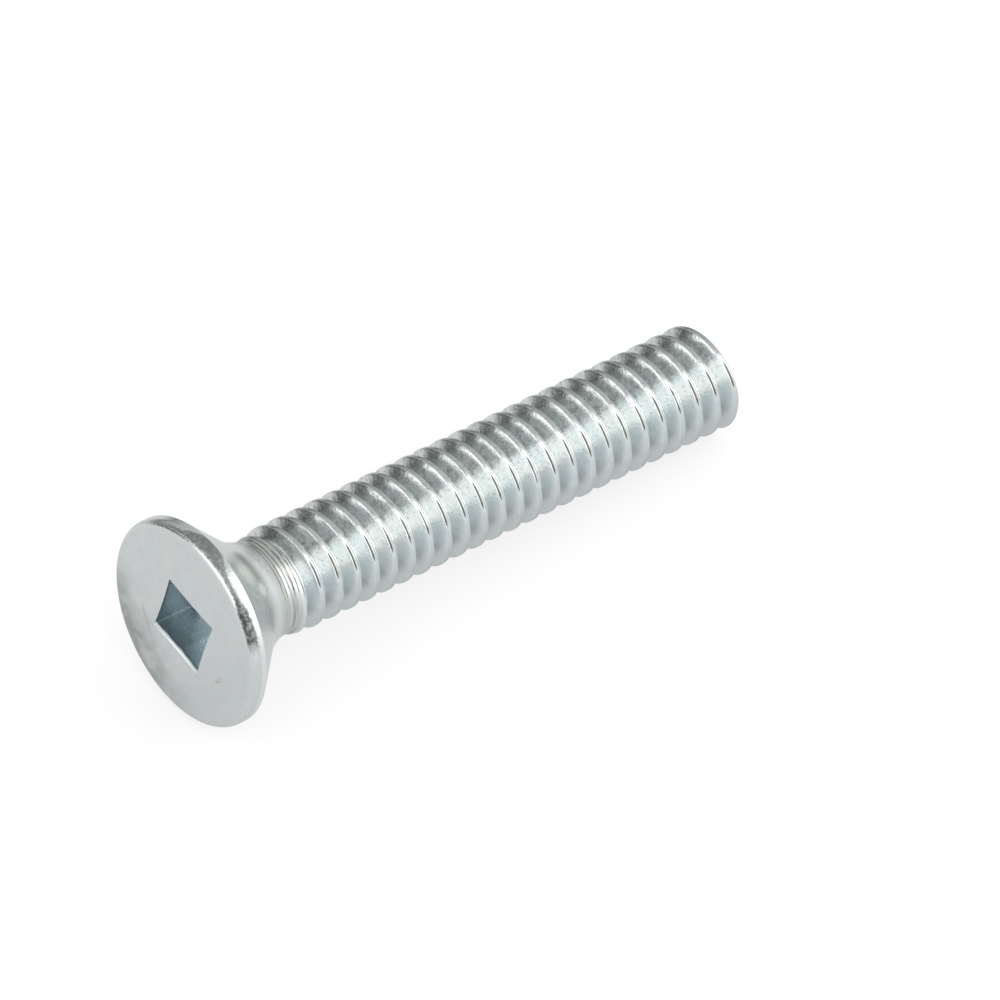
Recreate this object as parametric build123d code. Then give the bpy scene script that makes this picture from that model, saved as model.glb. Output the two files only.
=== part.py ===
from build123d import *
import math
import os

os.makedirs("parts", exist_ok=True)

# Countersunk machine screw with a square recess, rolled right-hand thread, cut tip.
# Sizes in mm. The screw is made upright on its own axis, Z, with the face of the
# head at 0 and the tip up, and is then laid down on its head rim and last crest.

# overall
LENGTH = 76.2            # face of the head to tip

# head
HEAD_D = 25.4
FACE_EDGE_R = 1.0        # rounding between the face and the rim
RIM_END = 1.9            # the cylindrical rim ends here
RIM_BREAK_R = 0.18       # rounding between the rim and the cone
CONE_HALF_ANGLE = 44.0   # countersink of 88 degrees
NECK_FILLET_R = 9.0      # from the cone into the neck
NECK_R = 5.65            # where the fillet would run out

# square recess
DRIVE_MOUTH = 8.05       # across flats in the face
DRIVE_BOTTOM = 7.6       # across flats where the straight walls end
DRIVE_DEPTH = 6.4
DRIVE_CORNER_R = 0.3
POINT_DEPTH = 7.5        # the floor slopes down to a small flat at this depth
POINT_FLAT = 2.2
DRIVE_TURN = 17.6        # turn of a corner from the thread's zero line

# thread
MAJOR_D = 13.0
PITCH = 2.64
CREST_FLAT = PITCH / 8
ROOT_R = 0.108 * PITCH
FLANK = 30.0             # each side of a 60 degree thread
FIRST_GROOVE = 10.87     # centre of the first groove on the zero line
TURNS = 26
BLANK_START = 10.9       # the fillet stops and the blank grows to the major diameter
BLANK_FULL = 14.1
RUNOUT_START = 9.0       # cone that the groove climbs out along
RUNOUT_END = 14.3
RUNOUT_END_R = 4.6
RUNOUT_START_R = 6.91
TIP_BREAK = 0.2

# how it lies
REST_STATION = 74.1      # the last whole crest on the underside, from the face
ROLL = 139.3             # the zero line is turned this far from the underside


def arc(start, middle, end):
    return Edge.make_three_point_arc(Vector(*start), Vector(*middle), Vector(*end))


def line(start, end):
    return Edge.make_line(Vector(*start), Vector(*end))


# ---- blank: head, neck and shank, turned about Z ----
head_r = HEAD_D / 2
major_r = MAJOR_D / 2
cone = math.radians(CONE_HALF_ANGLE)

# face edge
edge_mid = (
    head_r - FACE_EDGE_R * (1 - math.sin(math.pi / 4)),
    0,
    FACE_EDGE_R * (1 - math.cos(math.pi / 4)),
)
# rim to cone: a small round between two tangent points
break_t = RIM_BREAK_R * math.tan(cone / 2)
rim_low = (head_r, 0, RIM_END - break_t)
rim_mid = (
    head_r - RIM_BREAK_R * (1 - math.cos(cone / 2)),
    0,
    RIM_END - break_t + RIM_BREAK_R * math.sin(cone / 2),
)
cone_top = (
    head_r - break_t * math.sin(cone),
    0,
    RIM_END + break_t * math.cos(cone),
)
# cone to neck: the cone's line meets the neck radius at corner_z
corner_z = RIM_END + (head_r - NECK_R) / math.tan(cone)
fillet_t = NECK_FILLET_R * math.tan(cone / 2)
fillet_centre_z = corner_z + fillet_t
fillet_start_z = fillet_centre_z - NECK_FILLET_R * math.sin(cone)


def fillet_r(z):
    drop = fillet_centre_z - z
    return NECK_R + NECK_FILLET_R - math.sqrt(NECK_FILLET_R**2 - drop**2)


fillet_mid_z = (fillet_start_z + BLANK_START) / 2
profile = Wire(
    [
        line((0, 0, 0), (head_r - FACE_EDGE_R, 0, 0)),
        arc((head_r - FACE_EDGE_R, 0, 0), edge_mid, (head_r, 0, FACE_EDGE_R)),
        line((head_r, 0, FACE_EDGE_R), rim_low),
        arc(rim_low, rim_mid, cone_top),
        line(cone_top, (fillet_r(fillet_start_z), 0, fillet_start_z)),
        arc(
            (fillet_r(fillet_start_z), 0, fillet_start_z),
            (fillet_r(fillet_mid_z), 0, fillet_mid_z),
            (fillet_r(BLANK_START), 0, BLANK_START),
        ),
        line((fillet_r(BLANK_START), 0, BLANK_START), (major_r, 0, BLANK_FULL)),
        line((major_r, 0, BLANK_FULL), (major_r, 0, LENGTH - TIP_BREAK)),
        line((major_r, 0, LENGTH - TIP_BREAK), (major_r - TIP_BREAK, 0, LENGTH)),
        line((major_r - TIP_BREAK, 0, LENGTH), (0, 0, LENGTH)),
        line((0, 0, LENGTH), (0, 0, 0)),
    ]
)
blank = Solid.revolve(Face(profile), 360, Axis.Z)

# ---- thread groove: a V with a rounded root, carried along a helix ----
flank = math.tan(math.radians(FLANK))
half_mouth = (PITCH - CREST_FLAT) / 2
over = 0.12
outer_r = major_r + over
outer_half = half_mouth + over * flank
root_centre_r = major_r - half_mouth / flank + 2 * ROOT_R
root_r = root_centre_r - ROOT_R
tangent_r = root_centre_r - ROOT_R * math.sin(math.radians(FLANK))
tangent_half = ROOT_R * math.cos(math.radians(FLANK))
section = Face(
    Wire(
        [
            line((outer_r, 0, outer_half), (tangent_r, 0, tangent_half)),
            arc((tangent_r, 0, tangent_half), (root_r, 0, 0), (tangent_r, 0, -tangent_half)),
            line((tangent_r, 0, -tangent_half), (outer_r, 0, -outer_half)),
            line((outer_r, 0, -outer_half), (outer_r, 0, outer_half)),
        ]
    )
).moved(Location((0, 0, FIRST_GROOVE)))
helix = Wire(
    [
        Edge.make_helix(PITCH, PITCH, major_r, center=(0, 0, FIRST_GROOVE + turn * PITCH))
        for turn in range(TURNS)
    ]
)
groove = Solid.sweep(section, helix, is_frenet=True)
# near the head the groove climbs out along a cone, which leaves incomplete threads
runout = Solid.make_cone(
    RUNOUT_START_R,
    RUNOUT_END_R,
    RUNOUT_END - RUNOUT_START,
    Plane((0, 0, RUNOUT_START)),
)
groove = groove - runout

# ---- square recess: slightly tapered walls and a sloping floor ----
def square(side, corner, z):
    return Pos(0, 0, z) * RectangleRounded(side, side, corner)


walls = loft([square(DRIVE_MOUTH, DRIVE_CORNER_R, 0), square(DRIVE_BOTTOM, DRIVE_CORNER_R, DRIVE_DEPTH)], ruled=True)
floor = loft([square(DRIVE_BOTTOM, DRIVE_CORNER_R, DRIVE_DEPTH), square(POINT_FLAT, DRIVE_CORNER_R, POINT_DEPTH)], ruled=True)
recess = Rot(0, 0, DRIVE_TURN + 45) * (walls + floor)

screw = (blank - recess) - groove

# ---- lay it down: tip toward +X, rim and last whole crest on Z = 0 ----
rest_from = RIM_END - break_t
tilt = math.atan((head_r - major_r) / (REST_STATION - rest_from))
height = rest_from * math.sin(tilt) + head_r * math.cos(tilt)
axis = Vector(math.cos(tilt), 0, -math.sin(tilt))
down = Vector(-math.sin(tilt), 0, -math.cos(tilt))
side = axis.cross(down)
roll = math.radians(ROLL)
zero_line = down * math.cos(roll) - side * math.sin(roll)
laid = screw.moved(Location(Plane(origin=(0, 0, height), x_dir=zero_line, z_dir=axis)))
box = laid.bounding_box()
laid = laid.moved(Location((-(box.min.X + box.max.X) / 2, 0, 0)))
laid.label = "screw"

print("valid", laid.is_valid, "solids", len(laid.solids()), "volume", round(laid.volume, 1))
print("tilt", round(math.degrees(tilt), 3), "height", round(height, 4), "shift", round(-(box.min.X + box.max.X) / 2, 4))
print("box", laid.bounding_box())
print("root radius", round(root_r, 3), "zero line", zero_line, "axis", axis)
export_step(laid.solid(), "parts/screw.step")
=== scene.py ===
import math

import bpy
import numpy as np
from mathutils import Matrix, Vector, noise


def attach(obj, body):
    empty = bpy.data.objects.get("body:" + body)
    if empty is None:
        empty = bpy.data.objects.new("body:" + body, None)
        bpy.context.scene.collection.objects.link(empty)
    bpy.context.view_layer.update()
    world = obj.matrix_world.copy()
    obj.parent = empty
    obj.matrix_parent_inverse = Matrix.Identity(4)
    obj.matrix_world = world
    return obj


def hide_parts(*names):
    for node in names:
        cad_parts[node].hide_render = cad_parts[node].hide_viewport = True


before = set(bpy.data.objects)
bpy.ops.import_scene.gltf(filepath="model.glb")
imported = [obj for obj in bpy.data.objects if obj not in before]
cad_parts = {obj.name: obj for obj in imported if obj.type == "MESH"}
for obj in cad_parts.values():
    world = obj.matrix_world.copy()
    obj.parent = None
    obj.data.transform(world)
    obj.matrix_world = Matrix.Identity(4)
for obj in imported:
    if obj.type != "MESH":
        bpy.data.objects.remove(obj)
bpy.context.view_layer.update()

# ---------------------------------------------------------------- dimensions, mm
# The screw in its own coordinates: x along the axis from the face of the head to
# the tip, r from the axis, psi round it from the line that faces the camera.
LENGTH = 76.2
HEAD_R = 12.7
FACE_EDGE = 1.0
RIM_END = 1.9
RIM_BREAK = 0.18
CONE = math.radians(44.0)
NECK_FILLET = 9.0
NECK_R = 5.65
MAJOR_R = 6.5
PITCH = 2.64
ROOT_ROUND = 0.06 * PITCH
CREST_HALF = 0.27
FIRST_CREST = 12.19
RAMP_START, RAMP_FULL = 10.9, 14.1
RUNOUT = ((9.0, 6.91), (14.3, 4.6))
TIP_BREAK = 0.2
DRIVE_MOUTH, DRIVE_BOTTOM, DRIVE_DEPTH = 8.05, 7.6, 6.4
DRIVE_CORNER = 0.2
POINT_DEPTH, POINT_FLAT = 7.5, 2.2
DRIVE_TURN = 17.6

# place in the row frame
REST_FROM = RIM_END - RIM_BREAK * math.tan(CONE / 2)
TILT = math.atan((HEAD_R - MAJOR_R) / (74.1 - REST_FROM))
HEIGHT = REST_FROM * math.sin(TILT) + HEAD_R * math.cos(TILT)
ROLL = math.radians(139.3)
AXIS = Vector((math.cos(TILT), 0, -math.sin(TILT)))
DOWN = Vector((-math.sin(TILT), 0, -math.cos(TILT)))
SIDE = AXIS.cross(DOWN)
ZERO = (DOWN * math.cos(ROLL) - SIDE * math.sin(ROLL)).normalized()
QUARTER = AXIS.cross(ZERO)
FACE_CENTRE = Vector((-37.6807, 0, HEIGHT))

COLS = 128
PSI0 = math.radians(DRIVE_TURN) % (2 * math.pi / COLS)
PSI = PSI0 + np.arange(COLS) * 2 * math.pi / COLS
CORNER_COL = round((math.radians(DRIVE_TURN) - PSI0) / (2 * math.pi / COLS))


def place(x, p, q):
    """Screw coordinates (x, p on the zero line, q on the quarter line) to metres in the row frame."""
    return (FACE_CENTRE + AXIS * x + ZERO * p + QUARTER * q) * 0.001


def smooth(t):
    t = np.clip(t, 0.0, 1.0)
    return t * t * (3 - 2 * t)


def wobble(x, p, q, scale, seed):
    """Smooth noise in the screw's own space, features about `scale` mm across."""
    k = 1.0 / scale
    return np.array(
        [noise.noise(Vector((a * k + seed, b * k - seed, c * k + 2 * seed))) for a, b, c in zip(x, p, q)]
    )


# ---------------------------------------------------------------- turned shape
NECK_CORNER = RIM_END + (HEAD_R - NECK_R) / math.tan(CONE)
FILLET_C = NECK_CORNER + NECK_FILLET * math.tan(CONE / 2)
FILLET_START = FILLET_C - NECK_FILLET * math.sin(CONE)


def blank_r(x):
    """Radius of the blank behind the rim: cone, fillet, ramp and shank."""
    x = np.asarray(x, float)
    cone = HEAD_R - (x - RIM_END) * math.tan(CONE)
    fillet = NECK_R + NECK_FILLET - np.sqrt(np.maximum(NECK_FILLET**2 - (FILLET_C - x) ** 2, 0))
    at_ramp = NECK_R + NECK_FILLET - math.sqrt(NECK_FILLET**2 - (FILLET_C - RAMP_START) ** 2)
    ramp = at_ramp + (x - RAMP_START) / (RAMP_FULL - RAMP_START) * (MAJOR_R - at_ramp)
    r = np.where(x < FILLET_START, cone, np.where(x < RAMP_START, fillet, np.minimum(ramp, MAJOR_R)))
    return r


def soft_min(a, b, k):
    h = np.clip(0.5 + 0.5 * (b - a) / k, 0, 1)
    return b * (1 - h) + a * h - k * h * (1 - h)


def thread_r(u, head_round=0.22):
    """Thread form over one pitch; u is the distance from the crest, towards the tip if positive."""
    t30 = math.tan(math.radians(30))
    half = CREST_HALF
    au = np.abs(u)
    flank = MAJOR_R - (au - half) / t30
    centre = MAJOR_R - (PITCH / 2 - half) / t30 + 2 * ROOT_ROUND
    d = np.abs(PITCH / 2 - au)
    root = centre - np.sqrt(np.maximum(ROOT_ROUND**2 - d**2, 0))
    r = np.where(d < ROOT_ROUND * math.cos(math.radians(30)), np.maximum(root, flank), flank)
    # the crest is rounded more on the side that faces the head
    k = np.where(u < 0, head_round, 0.09)
    return soft_min(r, MAJOR_R - 0.50 * au**2, k)


def surface_r(x, psi):
    """Radius of the whole shank, from the neck to the tip."""
    x, psi = np.broadcast_arrays(np.asarray(x, float), np.asarray(psi, float))
    u = (x - FIRST_CREST - PITCH * psi / (2 * math.pi) + PITCH / 2) % PITCH - PITCH / 2
    # the rounding is fuller in places, as rolling left it
    worn = 0.5 + 0.5 * np.sin(0.83 * x + 1.7 * np.sin(0.31 * x + psi) + 2.0 * psi + 0.7 * np.sin(3 * psi - x))
    groove = thread_r(u, 0.06 + 0.09 * worn)
    (x0, r0), (x1, r1) = RUNOUT
    floor_r = np.where(x < x1, r0 + (x - x0) * (r1 - r0) / (x1 - x0), 0.0)
    groove = -soft_min(-groove, -floor_r, 0.25)
    body = blank_r(x)
    r = soft_min(groove, body, 0.12)
    # before the first groove the blank is as it was turned
    start = smooth((x - 9.9) / 1.0)
    return np.where(x < 9.9, body, body * (1 - start) + r * start)


# ---------------------------------------------------------------- mesh
verts, faces = [], []


def add_ring(points):
    i = len(verts)
    verts.extend(points)
    return list(range(i, i + len(points)))


def join(a, b):
    """Quads between two rings of COLS vertices; b is farther along the surface."""
    n = len(a)
    for j in range(n):
        k = (j + 1) % n
        faces.append((a[j], b[j], b[k], a[k]))


def ring_xr(x, r):
    """A ring in screw coordinates; x and r are numbers or arrays over the columns."""
    x = np.broadcast_to(np.asarray(x, float), (COLS,))
    r = np.broadcast_to(np.asarray(r, float), (COLS,))
    return [(x[j], r[j] * math.cos(PSI[j]), r[j] * math.sin(PSI[j])) for j in range(COLS)]


def recess_outline(flats, corner, stretch=1.0):
    """Rounded square with slightly hollow sides, one point for each column."""
    h = flats / 2
    per = COLS // 4
    arc = 3
    side_pts = per - 2 * arc
    pts = []
    for m in range(4):
        turn = math.radians(DRIVE_TURN + 90 * m)
        # corner centre on the diagonal of this corner, then the side to the next one
        local = []
        for s in range(arc + 1):
            a = math.radians(15 * s)
            cx = (h - corner) * math.sqrt(2)
            local.append((cx + corner * math.cos(a), corner * math.sin(a)))
        start, end_a = local[-1], math.radians(90)
        cx2 = (0.0, (h - corner) * math.sqrt(2))
        end = (cx2[0] + corner * math.cos(math.radians(45)), cx2[1] + corner * math.sin(math.radians(45)))
        for s in range(1, side_pts + 1):
            t = s / side_pts
            bow = 0.13 * math.sin(math.pi * t) ** 0.8 * flats / DRIVE_MOUTH
            x = start[0] + (end[0] - start[0]) * t - bow * math.sqrt(0.5)
            y = start[1] + (end[1] - start[1]) * t - bow * math.sqrt(0.5)
            local.append((x, y))
        for s in range(1, arc):
            a = math.radians(45 + 15 * s)
            local.append((cx2[0] + corner * math.cos(a), cx2[1] + corner * math.sin(a)))
        for x, y in local:
            pts.append((x * math.cos(turn) - y * math.sin(turn), x * math.sin(turn) + y * math.cos(turn)))
    out = [None] * COLS
    for k, (x, y) in enumerate(pts):
        out[(k + CORNER_COL) % COLS] = (x * stretch, y)
    return out


def outline_ring(x, outline, spread=0.0):
    """The outline at depth x, moved outwards by `spread` mm; both may be arrays over the columns."""
    x = np.broadcast_to(np.asarray(x, float), (COLS,))
    spread = np.broadcast_to(np.asarray(spread, float), (COLS,))
    res = []
    for j, (p, q) in enumerate(outline):
        k = 1 + spread[j] / math.hypot(p, q)
        res.append((x[j], p * k, q * k))
    return res


# recess: floor, walls, mouth
mouth = recess_outline(DRIVE_MOUTH, DRIVE_CORNER, 1.03)
deep = recess_outline(DRIVE_BOTTOM, DRIVE_CORNER)
flat = recess_outline(POINT_FLAT, DRIVE_CORNER)


def between(a, b, t):
    return [(p[0] * (1 - t) + q[0] * t, p[1] * (1 - t) + q[1] * t) for p, q in zip(a, b)]


centre = len(verts)
verts.append((POINT_DEPTH, 0.0, 0.0))
rings = [add_ring([(POINT_DEPTH, p * 0.5, q * 0.5) for p, q in flat])]
first = rings[0]
for j in range(COLS):
    faces.append((centre, first[j], first[(j + 1) % COLS]))
rings.append(add_ring([(POINT_DEPTH, p * 0.9, q * 0.9) for p, q in flat]))
rings.append(add_ring([(POINT_DEPTH - 0.03, p, q) for p, q in flat]))
for t in (0.15, 0.4, 0.7, 0.9, 0.97):
    rings.append(add_ring([(POINT_DEPTH + (DRIVE_DEPTH - POINT_DEPTH) * t - 0.03, p, q) for p, q in between(flat, deep, t)]))
rng = np.random.default_rng(7)
drag = np.interp(np.arange(COLS), np.arange(0, COLS, 2), rng.normal(0, 0.012, COLS // 2), period=COLS)
for depth in (6.33, 6.2, 5.8, 5.1, 4.3, 3.5, 2.7, 1.9, 1.3, 0.85, 0.5):
    o = between(mouth, deep, depth / DRIVE_DEPTH)
    grow = 1 - smooth(np.array((depth - 5.6) / 0.8))
    res = []
    for j, (p, q) in enumerate(o):
        r = math.hypot(p, q)
        s = 1 - abs(drag[j]) * float(grow) / r
        res.append((depth, p * s, q * s))
    rings.append(add_ring(res))
# mouth: a small round, and a wide bevelled lip along the edge that faces the camera
col = np.arange(COLS)
mid_low_left = (CORNER_COL + 1.5 * COLS / 4) % COLS
away = np.abs((col - mid_low_left + COLS / 2) % COLS - COLS / 2)
lip = smooth((COLS / 8 + 0.6 - away) / 1.6)
lip_wave = 1 + 0.10 * np.sin(col * 0.9) * np.sin(col * 0.37 + 1.0)
ROUND = 0.10
plain = [(ROUND * (1 - math.cos(g)), ROUND * (1 - math.sin(g))) for g in map(math.radians, (0, 25, 45, 62, 78, 90))]
bevel = [(0.0, 0.30), (0.03, 0.20), (0.09, 0.12), (0.17, 0.035), (0.21, 0.0), (0.26, -0.010)]
for (s0, x0), (s1, x1) in zip(plain, bevel):
    x = x0 * (1 - lip) + x1 * lip * lip_wave
    spread = s0 * (1 - lip) + s1 * lip * lip_wave
    rings.append(add_ring(outline_ring(x, mouth, spread)))
for a, b in zip(rings, rings[1:]):
    join(a, b)
inner = rings[-1]

# face of the head: from the mouth to the edge, with a witness ring and a faint dish
edge_r = HEAD_R - FACE_EDGE
last = inner
face_steps = (0.06, 0.14, 0.26, 0.40, 0.55, 0.70, 0.84, 0.93, 0.975, 1.0)
mouth_pts = [(verts[i][1], verts[i][2]) for i in inner]
circle = [(edge_r * math.cos(a), edge_r * math.sin(a)) for a in PSI]
for t in face_steps:
    pts = between(mouth_pts, circle, t)
    x = []
    for p, q in pts:
        r = math.hypot(p, q)
        h = 0.0
        h += 0.03 * math.exp(-(t / 0.08) ** 2) * smooth(np.array((t - 0.01) / 0.05))
        h += 0.012 * (noise.noise(Vector((p * 0.28, q * 0.28, 3.1))) + 1) * smooth(np.array((edge_r - r) / 1.5))
        x.append(float(h))
    ring = add_ring([(x[j], pts[j][0], pts[j][1]) for j in range(COLS)])
    join(last, ring)
    last = ring


def dents(x, r):
    """Soft dents in the cone: the slope is eased within each one."""
    total = np.zeros(COLS)
    for x0, at, size, ease in ((5.3, -14.0, 0.95, 0.06), (6.6, 1.0, 0.55, 0.06), (4.9, 150.0, 0.8, 0.06)):
        along = (x - x0) / size
        round_it = ((np.degrees(PSI) - at + 180) % 360 - 180) * math.pi / 180 * float(r) / size
        total += ease * (x - x0) * np.exp(-0.5 * (along**2 + round_it**2))
    return total


def rough_ring(x, r, amount):
    """A ring whose radius is knocked in by up to `amount` mm."""
    ring = ring_xr(x, r)
    r = np.broadcast_to(np.asarray(r, float), (COLS,)) + dents(x, r)
    ring = ring_xr(x, r)
    if amount:
        xs, ps, qs = (np.array([v[k] for v in ring]) for k in range(3))
        d = 0.6 * (wobble(xs, ps, qs, 1.3, 5.0) + 1) / 2 + 0.4 * (wobble(xs, ps, qs, 0.6, 9.0) + 1) / 2
        rr = np.broadcast_to(np.asarray(r, float), (COLS,)) - amount * d
        ring = ring_xr(x, rr)
    return ring


# edge, rim, cone and fillet
stations = []
for deg in (78, 66, 54, 42, 30, 20, 10, 0):
    b = math.radians(deg)
    stations.append((FACE_EDGE * (1 - math.sin(b)), edge_r + FACE_EDGE * math.cos(b), 0.03 * math.cos(b)))
for x in (1.12, 1.26, 1.40, 1.54, 1.68, 1.78):
    stations.append((x, HEAD_R, 0.035))
brk_t = RIM_BREAK * math.tan(CONE / 2)
for f in (0, 0.33, 0.67, 1.0):
    a = CONE * f
    stations.append((RIM_END - brk_t + RIM_BREAK * math.sin(a), HEAD_R - RIM_BREAK * (1 - math.cos(a)), 0.03 * (1 - f)))
for x in np.linspace(2.1, FILLET_START, 18):
    stations.append((x, float(blank_r(x)), 0.012))
for x in np.linspace(FILLET_START + 0.3, 9.6, 11):
    stations.append((x, float(blank_r(x)), 0.012 * (9.6 - x) / 3.2))
for x, r, amount in stations:
    ring = add_ring(rough_ring(x, r, amount))
    join(last, ring)
    last = ring


def shank_r(X, A):
    """Radius of the shank with its relief: worn crests, rippled flanks, a seam beside the crest, turned ridges."""
    R = surface_r(X, A)
    xs, ps, qs = X.ravel(), (R * np.cos(A)).ravel(), (R * np.sin(A)).ravel()
    grow = wobble(xs, ps, qs, 1.9, 3.0) * 0.5 + wobble(xs, ps, qs, 0.9, 11.0) * 0.5
    grow = grow.reshape(X.shape)
    u = (X - FIRST_CREST - PITCH * A / (2 * math.pi) + PITCH / 2) % PITCH - PITCH / 2
    full = smooth((X - 12.0) / 3.0)
    crest = np.exp(-((u / 0.34) ** 2))
    ripple = smooth((np.abs(u) - 0.24) / 0.25)
    turn_at = np.degrees(np.arctan2(np.sin(A), np.cos(A)))
    near = lambda at, wide: np.exp(-(((turn_at - at + 180) % 360 - 180) / wide) ** 2)
    seam_where = np.clip(near(11, 15) + 0.8 * near(128, 22) + 0.8 * near(-112, 22), 0, 1)
    seam_where = seam_where * (0.35 + 0.65 * smooth(0.5 + 0.5 * np.sin(1.31 * X + 2.0 * np.sin(0.37 * X))))
    seam = np.exp(-(((u + 0.08) / 0.042) ** 2))
    R = R - full * (0.030 * (0.5 + 0.5 * grow) * crest + 0.032 * grow * ripple + 0.07 * seam * seam_where)
    R = R - 0.010 * (0.5 + 0.5 * grow) * smooth((X - 9.9) / 1.5)
    ridges = smooth((X - 9.9) / 0.5) * (1 - smooth((X - 12.3) / 0.8)) * (0.55 + 0.45 * np.sin(1.7 * A + 0.8 * X))
    wave = 0.5 + 0.5 * np.sin(2 * math.pi * (X - 10.0) / 0.50 + 0.7 * np.sin(A * 2 + X))
    return R - ridges * 0.040 * wave


for x in np.arange(9.73, 12.66, 0.125):
    ring = add_ring(ring_xr(x, shank_r(np.full(COLS, x), PSI)))
    join(last, ring)
    last = ring
neck_ring = last
FROM_X = float(x)

# ---- thread: a grid sheared along the helix, closed on itself one pitch on
U = [-1.32, -1.24, -1.14, -0.98, -0.80, -0.62, -0.50, -0.43, -0.37, -0.33, -0.29, -0.25, -0.20, -0.14, -0.10,
     -0.06, -0.02, 0.06, 0.14, 0.20, 0.25, 0.29, 0.34, 0.44, 0.80, 1.20]
N = len(U)
TO_X = LENGTH - TIP_BREAK
turns = range(-2, 27)
s_rows = np.array([FIRST_CREST + PITCH * t + u for t in turns for u in U])
S, A = np.meshgrid(s_rows, PSI, indexing="ij")
X = S + PITCH * A / (2 * math.pi)
low, high = X <= FROM_X + 1e-6, X >= TO_X - 1e-6
X = np.clip(X, FROM_X, TO_X)
R = shank_r(X, A)
CA, SA = np.cos(A), np.sin(A)

index = -np.ones(X.shape, int)
low_i = neck_ring
high_ring_pts = []
high_r = surface_r(np.full(COLS, TO_X), PSI)
for j in range(COLS):
    high_ring_pts.append((TO_X, high_r[j] * math.cos(PSI[j]), high_r[j] * math.sin(PSI[j])))
high_i = add_ring(high_ring_pts)
for i in range(X.shape[0]):
    for j in range(COLS):
        if low[i, j]:
            index[i, j] = low_i[j]
        elif high[i, j]:
            index[i, j] = high_i[j]
        else:
            index[i, j] = len(verts)
            verts.append((X[i, j], R[i, j] * CA[i, j], R[i, j] * SA[i, j]))
rows = X.shape[0]
for i in range(rows - 1):
    for j in range(COLS):
        if j < COLS - 1:
            q = (index[i, j], index[i + 1, j], index[i + 1, j + 1], index[i, j + 1])
        else:
            if i + 1 + N >= rows:
                continue
            q = (index[i, j], index[i + 1, j], index[i + 1 + N, 0], index[i + N, 0])
        clean = []
        for v in q:
            if not clean or clean[-1] != v:
                clean.append(int(v))
        if len(clean) > 1 and clean[0] == clean[-1]:
            clean.pop()
        if len(set(clean)) >= 3:
            faces.append(tuple(clean))

# ---- tip: a small break of the edge and a cut end that is slightly dished
end_r = np.minimum(surface_r(np.full(COLS, LENGTH), PSI), MAJOR_R - TIP_BREAK)
last = high_i
for x, f in ((76.1, 0.5), (LENGTH, 1.0)):
    ring = add_ring(ring_xr(x, high_r * (1 - f) + end_r * f))
    join(last, ring)
    last = ring
for f, sink in ((0.97, 0.0), (0.90, 0.03), (0.75, 0.07), (0.5, 0.11), (0.25, 0.13)):
    ring = add_ring(ring_xr(LENGTH - sink, end_r * f))
    join(last, ring)
    last = ring
tip = len(verts)
verts.append((LENGTH - 0.135, 0.0, 0.0))
for j in range(COLS):
    faces.append((last[j], tip, last[(j + 1) % COLS]))

mesh = bpy.data.meshes.new("screw_body")
mesh.from_pydata([place(*v) for v in verts], [], [f[::-1] for f in faces])  # faces turned outwards
mesh.validate()
mesh.update()
screw = bpy.data.objects.new("screw_body", mesh)
bpy.context.scene.collection.objects.link(screw)
mesh.shade_smooth()
print("triangles", sum(len(p.vertices) - 2 for p in mesh.polygons), "vertices", len(mesh.vertices))

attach(screw, "root")
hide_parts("screw")


# ---------------------------------------------------------------- material
class Tree:
    """Short names for making shader nodes."""

    def __init__(self, tree):
        self.t = tree
        self.n = tree.nodes
        self.l = tree.links

    def node(self, kind, **kw):
        n = self.n.new(kind)
        for k, v in kw.items():
            setattr(n, k, v)
        return n

    def put(self, socket, value):
        if isinstance(value, bpy.types.NodeSocket):
            self.l.new(value, socket)
        else:
            socket.default_value = value

    def math(self, op, a, b=None, c=None, clamp=False):
        n = self.node("ShaderNodeMath", operation=op, use_clamp=clamp)
        self.put(n.inputs[0], a)
        if b is not None:
            self.put(n.inputs[1], b)
        if c is not None:
            self.put(n.inputs[2], c)
        return n.outputs[0]

    def step(self, v, lo, hi, out_lo=0.0, out_hi=1.0, kind="SMOOTHSTEP"):
        n = self.node("ShaderNodeMapRange", interpolation_type=kind, clamp=True) if kind == "LINEAR" else self.node(
            "ShaderNodeMapRange", interpolation_type=kind
        )
        self.put(n.inputs[0], v)
        for i, x in zip((1, 2, 3, 4), (lo, hi, out_lo, out_hi)):
            self.put(n.inputs[i], x)
        return n.outputs[0]

    def noise(self, vector, scale, detail=2.0, rough=0.5, distort=0.0):
        n = self.node("ShaderNodeTexNoise")
        self.put(n.inputs["Vector"], vector)
        n.inputs["Scale"].default_value = scale
        n.inputs["Detail"].default_value = detail
        n.inputs["Roughness"].default_value = rough
        n.inputs["Distortion"].default_value = distort
        return n.outputs[0]

    def mix(self, f, a, b):
        n = self.node("ShaderNodeMix", data_type="RGBA")
        self.put(n.inputs[0], f)
        self.put(n.inputs[6], a)
        self.put(n.inputs[7], b)
        return n.outputs[2]

    def mul(self, a, b):
        return self.math("MULTIPLY", a, b)

    def add(self, a, b):
        return self.math("ADD", a, b)


mat = bpy.data.materials.new("zinc_plate")
mat.use_nodes = True
T = Tree(mat.node_tree)
T.n.clear()
out = T.node("ShaderNodeOutputMaterial")
bsdf = T.node("ShaderNodeBsdfPrincipled")
T.l.new(bsdf.outputs[0], out.inputs[0])
bsdf.inputs["Metallic"].default_value = 1.0
bsdf.inputs["Specular Tint"].default_value = (0.80, 0.81, 0.80, 1)

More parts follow.
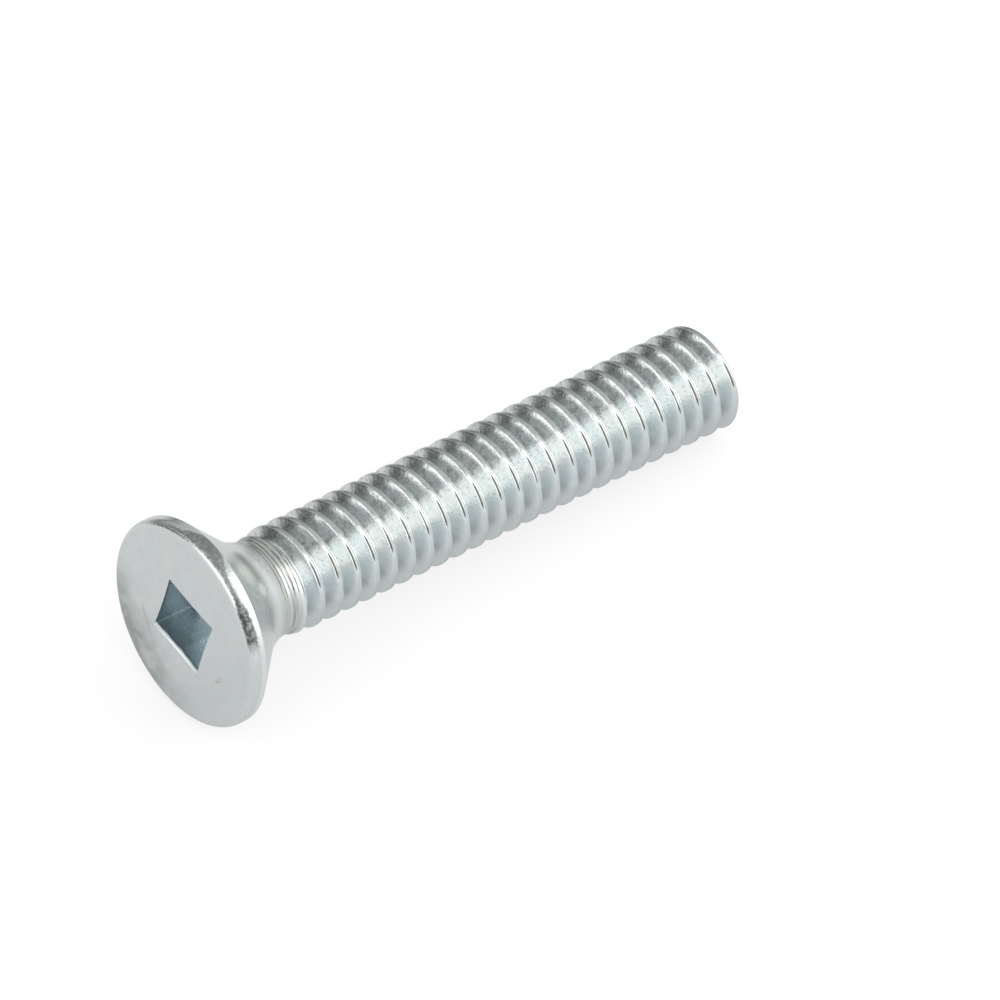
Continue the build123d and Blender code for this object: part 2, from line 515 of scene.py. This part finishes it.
# the screw's own coordinates in mm, from the object's
coord = T.node("ShaderNodeTexCoord")
turned = T.node("ShaderNodeMapping", vector_type="POINT")
basis = Matrix((AXIS, ZERO, QUARTER))
turned.inputs["Rotation"].default_value = basis.to_euler("XYZ")
turned.inputs["Scale"].default_value = (1000, 1000, 1000)
turned.inputs["Location"].default_value = -(basis @ FACE_CENTRE)
T.l.new(coord.outputs["Object"], turned.inputs["Vector"])
P = turned.outputs[0]
sep = T.node("ShaderNodeSeparateXYZ")
T.l.new(P, sep.inputs[0])
px, pp, pq = sep.outputs
rad = T.math("SQRT", T.add(T.mul(pp, pp), T.mul(pq, pq)))
ang = T.math("ARCTAN2", pq, pp)

# zones
on_face = T.mul(T.step(px, 0.05, 0.16, 1.0, 0.0), T.step(rad, 3.9, 4.1))
in_recess = T.mul(T.mul(T.step(px, 0.10, 0.4), T.step(px, 7.7, 7.9, 1.0, 0.0)), T.step(rad, 5.75, 5.85, 1.0, 0.0))
on_rim = T.mul(T.step(px, 0.02, 0.15), T.step(px, 1.9, 2.15, 1.0, 0.0))
on_rim = T.mul(on_rim, T.step(rad, 11.6, 11.9))
on_shank = T.step(px, 11.0, 12.4)
on_neck = T.mul(T.step(px, 1.9, 2.4), T.step(px, 9.6, 10.4, 1.0, 0.0))
on_end = T.mul(T.step(px, 75.92, 76.02), T.step(rad, 6.26, 6.32, 1.0, 0.0))
off_end = T.math("SUBTRACT", 1.0, on_end)

# colour: a bluish zinc with faint straw and violet clouds from the clear finish
cloud1 = T.noise(P, 0.33, 3.0, 0.55)
cloud2 = T.noise(P, 0.62, 2.0, 0.5, 0.6)
specks = T.noise(P, 3.2, 4.0, 0.62)
base = T.mix(T.step(cloud1, 0.36, 0.64), (0.588, 0.630, 0.642, 1), (0.616, 0.640, 0.638, 1))
base = T.mix(T.mul(T.step(cloud2, 0.52, 0.70), 0.45), base, (0.612, 0.614, 0.650, 1))
# dull olive freckles in the thread, where the finish is thin, fewer on the lower side; the lower side is tinted a
# lighter blue as a painted reflection of the floor
upper = T.mul(T.mul(T.step(ang, -0.30, -0.12, 1.0, 0.0), T.step(ang, -2.2, -1.8)), off_end)
lower = T.mul(T.mul(T.step(ang, 0.28, 0.50), T.step(ang, 2.3, 2.8, 1.0, 0.0)), off_end)
# painted reflection: a lighter blue tint on the lower side of the thread
base = T.mix(T.mul(T.mul(lower, on_shank), 0.6), base, (0.592, 0.648, 0.672, 1))
freckle = T.mul(T.step(specks, 0.54, 0.70), T.add(T.mul(on_shank, T.step(lower, 0.0, 1.0, 0.55, 0.15)), 0.12))
base = T.mix(freckle, base, (0.34, 0.36, 0.34, 1))
# noise stains, darker and mostly along the upper side of the thread; their weighting onto that side is painted shade
stain = T.noise(P, 1.25, 3.0, 0.65, 0.4)
# painted shade: the stains are weighted onto the upper side of the thread
stain_and_upper_shade = T.mul(T.mul(T.step(stain, 0.50, 0.62), T.step(px, 7.5, 10.0)), T.step(upper, 0.0, 1.0, 0.10, 0.62))
base = T.mix(stain_and_upper_shade, base, (0.33, 0.355, 0.34, 1))
# painted shade: two darker bands along the thread, one on the upper side and one on the lower side
high_band = T.mul(T.step(ang, -1.50, -1.25), T.step(ang, -1.02, -0.78, 1.0, 0.0))
low_band = T.mul(T.step(ang, 0.80, 1.05), T.step(ang, 2.3, 2.8, 1.0, 0.0))
painted_shade_bands = T.mul(T.mul(T.add(T.mul(high_band, 0.45), T.mul(low_band, 0.30)), T.step(px, 12.0, 14.0)), off_end)
base = T.mix(painted_shade_bands, base, (0.380, 0.408, 0.408, 1))
# the crests are worn duller; the strength of the darkening is set per side round the screw as painted shade, strongest
# on the upper side, weaker in the middle and on the lower side
crest_u = T.math("SUBTRACT", T.math("DIVIDE", T.math("SUBTRACT", px, FIRST_CREST), PITCH), T.math("DIVIDE", ang, 2 * math.pi))
crest_u = T.mul(T.math("ABSOLUTE", T.math("SUBTRACT", T.math("FRACT", T.add(crest_u, 0.5)), 0.5)), PITCH)
worn = T.mul(T.step(crest_u, T.step(lower, 0.0, 1.0, 0.19, 0.27), T.step(lower, 0.0, 1.0, 0.27, 0.36), 1.0, 0.0), T.step(px, 12.5, 14.5))
worn = T.mul(T.mul(worn, off_end), T.step(rad, 5.6, 5.9))
# painted shade: crest darkening weakened by the angle round the screw
crest_lighter_side = T.mul(T.step(ang, -0.74, -0.58), T.step(ang, -0.08, 0.20, 1.0, 0.0))
crest_wear_and_shade = T.math("SUBTRACT", T.step(crest_lighter_side, 0.0, 1.0, 0.80, 0.45), T.mul(lower, 0.38))
base = T.mix(T.mul(worn, crest_wear_and_shade), base, (0.375, 0.40, 0.396, 1))
# two painted highlights on the cone: near-white spots in the base colour
for x0, at, size in ((4.9, -0.25, 2.10), (6.5, 0.02, 1.0)):
    off = T.math("DIVIDE", T.math("SUBTRACT", px, x0), size)
    turn = T.math("DIVIDE", T.mul(T.math("SUBTRACT", ang, at), rad), size)
    highlight_spot = T.step(T.add(T.mul(off, off), T.mul(turn, turn)), 0.0, 1.3, 1.0, 0.0)
    base = T.mix(T.mul(highlight_spot, 0.95), base, (0.94, 0.96, 0.93, 1))
# the neck is dull where it was turned
dull_neck = T.mul(T.step(px, 8.8, 10.0), T.step(px, 12.0, 13.0, 1.0, 0.0))
base = T.mix(T.mul(dull_neck, 0.68), base, (0.42, 0.44, 0.428, 1))
# painted shade in the rolled seam beside the crest: a near-black line, only on the side round the highlight band, wider
# where the seam is open
turns = T.math("SUBTRACT", T.math("DIVIDE", T.math("SUBTRACT", px, FIRST_CREST - 0.08), PITCH), T.math("DIVIDE", ang, 2 * math.pi))
seam_u = T.mul(T.math("ABSOLUTE", T.math("SUBTRACT", T.math("FRACT", T.add(turns, 0.5)), 0.5)), PITCH)
open_seam = T.noise(P, 0.55, 2.0, 0.5)
width = T.mul(T.mul(T.step(ang, -0.10, 0.06), T.step(ang, 0.34, 0.50, 1.0, 0.0)), T.step(open_seam, 0.30, 0.50, 0.05, 0.11))
seam_shade = T.mul(T.mul(T.step(T.math("SUBTRACT", seam_u, width), 0.0, 0.04, 1.0, 0.0), T.step(width, 0.0, 0.03)), T.mul(T.step(px, 13.0, 15.0), off_end))
base = T.mix(T.mul(seam_shade, 0.92), base, (0.06, 0.064, 0.06, 1))
# the face is duller, with random clouds; painted shade darkens it towards one edge and a little towards another side
face_tone_and_shade = T.mix(T.step(T.add(pp, T.mul(T.math("SUBTRACT", cloud1, 0.5), 5.0)), -12.2, -4.4), (0.275, 0.298, 0.292, 1), (0.545, 0.575, 0.580, 1))
face_tone_and_shade = T.mix(T.mul(T.step(pq, 1.0, 9.0), 0.5), face_tone_and_shade, (0.490, 0.522, 0.530, 1))
face_tone_and_shade = T.mix(T.mul(T.step(cloud2, 0.40, 0.66), 0.40), face_tone_and_shade, (0.515, 0.515, 0.555, 1))
face_tone_and_shade = T.mix(T.mul(T.step(cloud1, 0.50, 0.68), 0.30), face_tone_and_shade, (0.580, 0.605, 0.585, 1))
base = T.mix(on_face, base, face_tone_and_shade)
# painted shade in the turned lines between the neck and the first whole thread: near-black lines, fainter on the lower
# side
line_at = T.math("FRACT", T.add(T.math("DIVIDE", T.math("SUBTRACT", px, 10.0), 0.50), T.mul(T.math("SUBTRACT", cloud2, 0.5), 0.5)))
line_at = T.mul(T.math("ABSOLUTE", T.math("SUBTRACT", line_at, 0.5)), 2.0)
turned_line_shade = T.mul(T.mul(T.step(px, 9.8, 10.2), T.step(px, 12.3, 12.9, 1.0, 0.0)), T.step(line_at, 0.08, 0.42, 1.0, 0.0))
turned_line_shade = T.mul(turned_line_shade, T.step(T.noise(P, 0.9, 2.0, 0.5), 0.36, 0.56, 0.45, 1.0))
base = T.mix(T.mul(turned_line_shade, T.step(lower, 0.0, 1.0, 0.95, 0.25)), base, (0.10, 0.107, 0.10, 1))
# painted reflection: bluer inside the recess, with lighter specks as painted highlights
base = T.mix(T.mul(in_recess, 0.85), base, (0.625, 0.700, 0.740, 1))
base = T.mix(T.mul(in_recess, T.step(specks, 0.46, 0.66, 0.0, 0.45)), base, (0.80, 0.85, 0.88, 1))
# scale left on the rim; its near-black colour, darkest on one side, is a painted reflection
scale = T.noise(P, 1.9, 4.0, 0.7)
ragged = T.mul(T.math("SUBTRACT", scale, 0.5), 1.1)
start = T.add(T.step(ang, -0.02, 0.16, 0.25, 0.04), T.mul(T.math("SUBTRACT", T.noise(P, 4.5, 2.0, 0.6), 0.5), 0.35))
reach = T.math("MINIMUM", T.step(ang, -0.56, -0.17, 2.3, 0.90), T.step(ang, -0.92, -0.58, 0.72, 2.3))
reach = T.add(reach, T.step(ang, 0.02, 0.16, 0.0, 0.34))
rim_scale_and_reflection = T.mul(T.step(T.math("SUBTRACT", px, start), -0.03, 0.12), T.step(T.math("SUBTRACT", T.add(px, ragged), reach), -0.22, 0.12, 1.0, 0.0))
rim_scale_and_reflection = T.mul(T.mul(rim_scale_and_reflection, on_rim), T.mul(T.step(ang, 0.38, 0.56, 1.0, 0.16), T.step(ang, -1.25, -0.85, 0.1, 1.0)))
base = T.mix(T.mul(rim_scale_and_reflection, T.step(scale, 0.34, 0.60, 0.70, 1.0)), base, T.mix(T.step(ang, -0.15, 0.1), (0.22, 0.23, 0.22, 1), (0.060, 0.066, 0.060, 1)))
# the cut end: fine straight marks where the wire was sheared
shear = T.node("ShaderNodeCombineXYZ")
T.put(shear.inputs[0], T.mul(T.add(pp, T.mul(pq, 0.4)), 0.22))
T.put(shear.inputs[1], T.mul(T.math("SUBTRACT", pq, T.mul(pp, 0.4)), 2.6))
sheared = T.noise(shear.outputs[0], 1.0, 3.0, 0.6, 0.3)
base = T.mix(T.mul(on_end, T.step(sheared, 0.42, 0.66, 0.05, 0.55)), base, (0.44, 0.465, 0.46, 1))
# a faint brown mark on the face
dx = T.math("SUBTRACT", pp, 1.83)
dy = T.math("SUBTRACT", pq, 7.35)
spot = T.add(T.mul(T.mul(dx, dx), 0.55), T.mul(T.mul(dy, dy), 6.0))
spot = T.mul(T.step(spot, 0.0, 1.0, 1.0, 0.0), T.mul(T.step(specks, 0.40, 0.62), on_face))
base = T.mix(T.mul(spot, 0.85), base, (0.36, 0.33, 0.26, 1))


# the witness ring is a little darker than the face
ring_d = T.math("ABSOLUTE", T.math("SUBTRACT", rad, T.add(7.45, T.mul(T.math("SUBTRACT", cloud2, 0.5), 0.5))))
ring_w = T.step(ring_d, 0.0, 0.13, 1.0, 0.0)
strong = T.mul(T.step(ang, -3.10, -3.0), T.step(ang, -2.62, -2.45, 1.0, 0.0))
faint = T.mul(T.step(ang, -2.6, -2.4), T.step(ang, -2.1, -1.8, 1.0, 0.0))
ring_k = T.mul(T.mul(ring_w, on_face), T.add(strong, T.mul(faint, 0.25)))
base = T.mix(T.mul(ring_k, 0.45), base, (0.26, 0.28, 0.27, 1))
T.put(bsdf.inputs["Base Color"], base)

# roughness
fine = T.noise(P, 7.0, 3.0, 0.6)
rough = T.step(fine, 0.3, 0.7, 0.17, 0.27, "LINEAR")
rough = T.add(rough, T.mul(T.add(on_face, on_end), 0.08))
rough = T.add(rough, T.mul(on_neck, 0.05))
rough = T.add(rough, T.mul(freckle, 0.20))
rough = T.add(rough, T.mul(T.mul(lower, on_shank), 0.16))
rough = T.add(rough, T.mul(T.mul(T.step(px, 8.6, 9.8), T.step(px, 12.4, 13.2, 1.0, 0.0)), 0.10))
T.put(bsdf.inputs["Roughness"], rough)

# relief: plating grain, rolling marks along the helix, forging marks on the rim, a witness ring on the face
helix = T.node("ShaderNodeCombineXYZ")
T.put(helix.inputs[0], T.mul(T.math("COSINE", T.mul(T.math("SUBTRACT", px, T.mul(ang, PITCH / (2 * math.pi))), 2 * math.pi / PITCH)), 6.0))
T.put(helix.inputs[1], T.mul(rad, 9.0))
T.put(helix.inputs[2], T.mul(px, 0.35))
rolled = T.noise(helix.outputs[0], 1.0, 3.0, 0.6)
mottle = T.noise(P, 2.3, 3.0, 0.55)
grain = T.noise(P, 9.0, 2.0, 0.5)
height = T.mul(mottle, T.add(T.mul(on_shank, 0.020), 0.006))
height = T.add(height, T.mul(grain, 0.0022))
height = T.add(height, T.mul(T.mul(rolled, on_shank), 0.006))
height = T.add(height, T.mul(T.mul(scale, T.add(T.mul(rim_scale_and_reflection, 0.7), T.mul(on_rim, 0.3))), 0.11))
height = T.math("SUBTRACT", height, T.mul(ring_k, 0.06))
height = T.add(height, T.mul(T.mul(sheared, on_end), 0.05))
bump = T.node("ShaderNodeBump")
bump.inputs["Strength"].default_value = 1.0
bump.inputs["Distance"].default_value = 0.001
T.put(bump.inputs["Height"], height)
T.put(bsdf.inputs["Normal"], bump.outputs[0])
mesh.materials.append(mat)


# ---------------------------------------------------------------- floor
floor_mesh = bpy.data.meshes.new("floor")
W = 3.0
floor_mesh.from_pydata([(-W, -W, 0), (W, -W, 0), (W, W, 0), (-W, W, 0)], [], [(0, 1, 2, 3)])
floor = bpy.data.objects.new("floor", floor_mesh)
floor.location.z = -0.00002
bpy.context.scene.collection.objects.link(floor)
fm = bpy.data.materials.new("pale_floor")
fm.use_nodes = True
F = Tree(fm.node_tree)
fb = fm.node_tree.nodes["Principled BSDF"]
fc = F.node("ShaderNodeTexCoord")
fn = F.noise(fc.outputs["Object"], 6.0, 2.0, 0.5)
far_out = F.node("ShaderNodeVectorMath", operation="LENGTH")
F.put(far_out.inputs[0], fc.outputs["Object"])
from_mid = far_out.outputs["Value"]
fs = F.node("ShaderNodeSeparateXYZ")
F.put(fs.inputs[0], fc.outputs["Object"])
behind = F.step(F.math("DIVIDE", fs.outputs[1], from_mid), 0.25, 0.65)
far_out = F.mul(F.step(from_mid, 0.26, 0.36), behind)
pale = F.mix(fn, (0.21, 0.21, 0.21, 1), (0.23, 0.23, 0.23, 1))
F.put(fb.inputs["Base Color"], F.mix(far_out, pale, (0.18, 0.18, 0.18, 1)))
fb.inputs["Roughness"].default_value = 0.9
fb.inputs["Specular IOR Level"].default_value = 0.1
fb.inputs["Emission Color"].default_value = (1, 1, 1, 1)
front = F.mul(F.step(from_mid, 0.10, 0.16, 0.0, 0.28), F.step(behind, 0.0, 0.4, 1.0, 0.0))
F.put(fb.inputs["Emission Strength"], F.add(F.step(far_out, 0.0, 1.0, 0.78, 0.04, "LINEAR"), front))
floor_mesh.materials.append(fm)

# ---------------------------------------------------------------- studio light, by direction
world = bpy.data.worlds.new("studio")
bpy.context.scene.world = world
world.use_nodes = True
L = Tree(world.node_tree)
L.n.clear()
wout = L.node("ShaderNodeOutputWorld")
bg = L.node("ShaderNodeBackground")
L.l.new(bg.outputs[0], wout.inputs[0])
wc = L.node("ShaderNodeTexCoord")
D = wc.outputs["Generated"]


def dot(v):
    n = L.node("ShaderNodeVectorMath", operation="DOT_PRODUCT")
    L.put(n.inputs[0], D)
    n.inputs[1].default_value = Vector(v).normalized()
    return n.outputs["Value"]


def lobe(direction, inner_deg, outer_deg):
    """1 within inner_deg of a direction, falling to 0 at outer_deg."""
    return L.step(dot(direction), math.cos(math.radians(outer_deg)), math.cos(math.radians(inner_deg)))


# azimuth is measured from -X towards +Y, and height is the sine of the elevation
wx, wy, wz = dot((1, 0, 0)), dot((0, 1, 0)), dot((0, 0, 1))
azim = L.math("ARCTAN2", wy, L.mul(wx, -1.0))
deg = math.radians


def between(v, a, b, c, d):
    """Rises from a to b and falls from c to d."""
    return L.mul(L.step(v, a, b), L.step(v, c, d, 1.0, 0.0))


def up_to(e):
    return math.sin(math.radians(e))


# an even room, paler low on the right
sky = L.mix(L.step(wz, 0.3, 0.95), (0.68, 0.69, 0.67, 1), (0.86, 0.87, 0.85, 1))
sky = L.mix(lobe((0.95, -0.10, 0.15), 18, 44), sky, (0.95, 0.96, 0.94, 1))
# low at the back the room is dark
sky = L.mix(L.mul(between(azim, deg(62), deg(78), deg(132), deg(150)), L.step(wz, up_to(5), up_to(14), 1.0, 0.0)), sky, (0.20, 0.21, 0.20, 1))
# pale and low in front
sky = L.mix(L.mul(between(azim, deg(-168), deg(-155), deg(-70), deg(-50)), L.step(wz, up_to(16), up_to(24), 1.0, 0.0)), sky, (1.28, 1.29, 1.27, 1))
# a small lamp low at the right end
sky = L.mix(lobe((1.0, 0.10, 0.09), 8, 24), sky, (1.20, 1.20, 1.18, 1))
# the photographer's side
sky = L.mix(L.mul(between(azim, deg(-75), deg(-60), deg(-22), deg(-12)), L.step(wz, up_to(60), up_to(75), 1.0, 0.0)), sky, (0.75, 0.76, 0.74, 1))
# a dark gap behind on the left
sky = L.mix(L.mul(between(azim, deg(33), deg(40), deg(62), deg(80)), L.step(wz, up_to(16), up_to(34), 1.0, 0.0)), sky, (0.13, 0.135, 0.125, 1))
# a pale wall on the left
sky = L.mix(L.mul(between(azim, deg(-28), deg(-14), deg(30), deg(37)), L.step(wz, up_to(46), up_to(60), 1.0, 0.0)), sky, (2.00, 2.00, 1.94, 1))
# the softbox in front and to the right
edge = L.step(wz, 0.30, 0.60, deg(8), 0.0)
box = between(L.math("SUBTRACT", azim, edge), deg(-161), deg(-153), deg(-62), deg(-54))
box = L.mul(box, between(wz, up_to(3), up_to(17), up_to(61), up_to(68)))
sky = L.mix(box, sky, (2.45, 2.45, 2.38, 1))
L.put(bg.inputs[0], sky)
bg.inputs[1].default_value = 1.0

# ---------------------------------------------------------------- camera
AZ, EL = math.radians(-39.072), math.radians(43.8255)
back = Vector((math.sin(AZ) * math.cos(EL), -math.cos(AZ) * math.cos(EL), math.sin(EL)))
right = Vector((math.cos(AZ), math.sin(AZ), 0))
up = back.cross(right)
SCALE = 8.81  # pixels per mm at the middle of the screw
mid = FACE_CENTRE + AXIS * (LENGTH / 2)
mid_px = (445.15, 499.6)
target = (mid + right * ((500 - mid_px[0]) / SCALE) + up * ((mid_px[1] - 500) / SCALE)) * 0.001
cam_data = bpy.data.cameras.new("camera")
cam_data.sensor_width = 36
cam_data.lens = 800
distance = 1.0 / SCALE * 1000 * 0.001 * cam_data.lens / cam_data.sensor_width
cam_data.clip_start, cam_data.clip_end = 0.05, 20
cam = bpy.data.objects.new("camera", cam_data)
bpy.context.scene.collection.objects.link(cam)
cam.location = target + back * distance
cam.rotation_mode = "QUATERNION"
cam.rotation_quaternion = Matrix((right, up, back)).transposed().to_quaternion()
bpy.context.scene.camera = cam

bpy.context.scene.cycles.caustics_reflective = False
bpy.context.scene.view_settings.view_transform = "Standard"
bpy.context.scene.view_settings.look = "None"
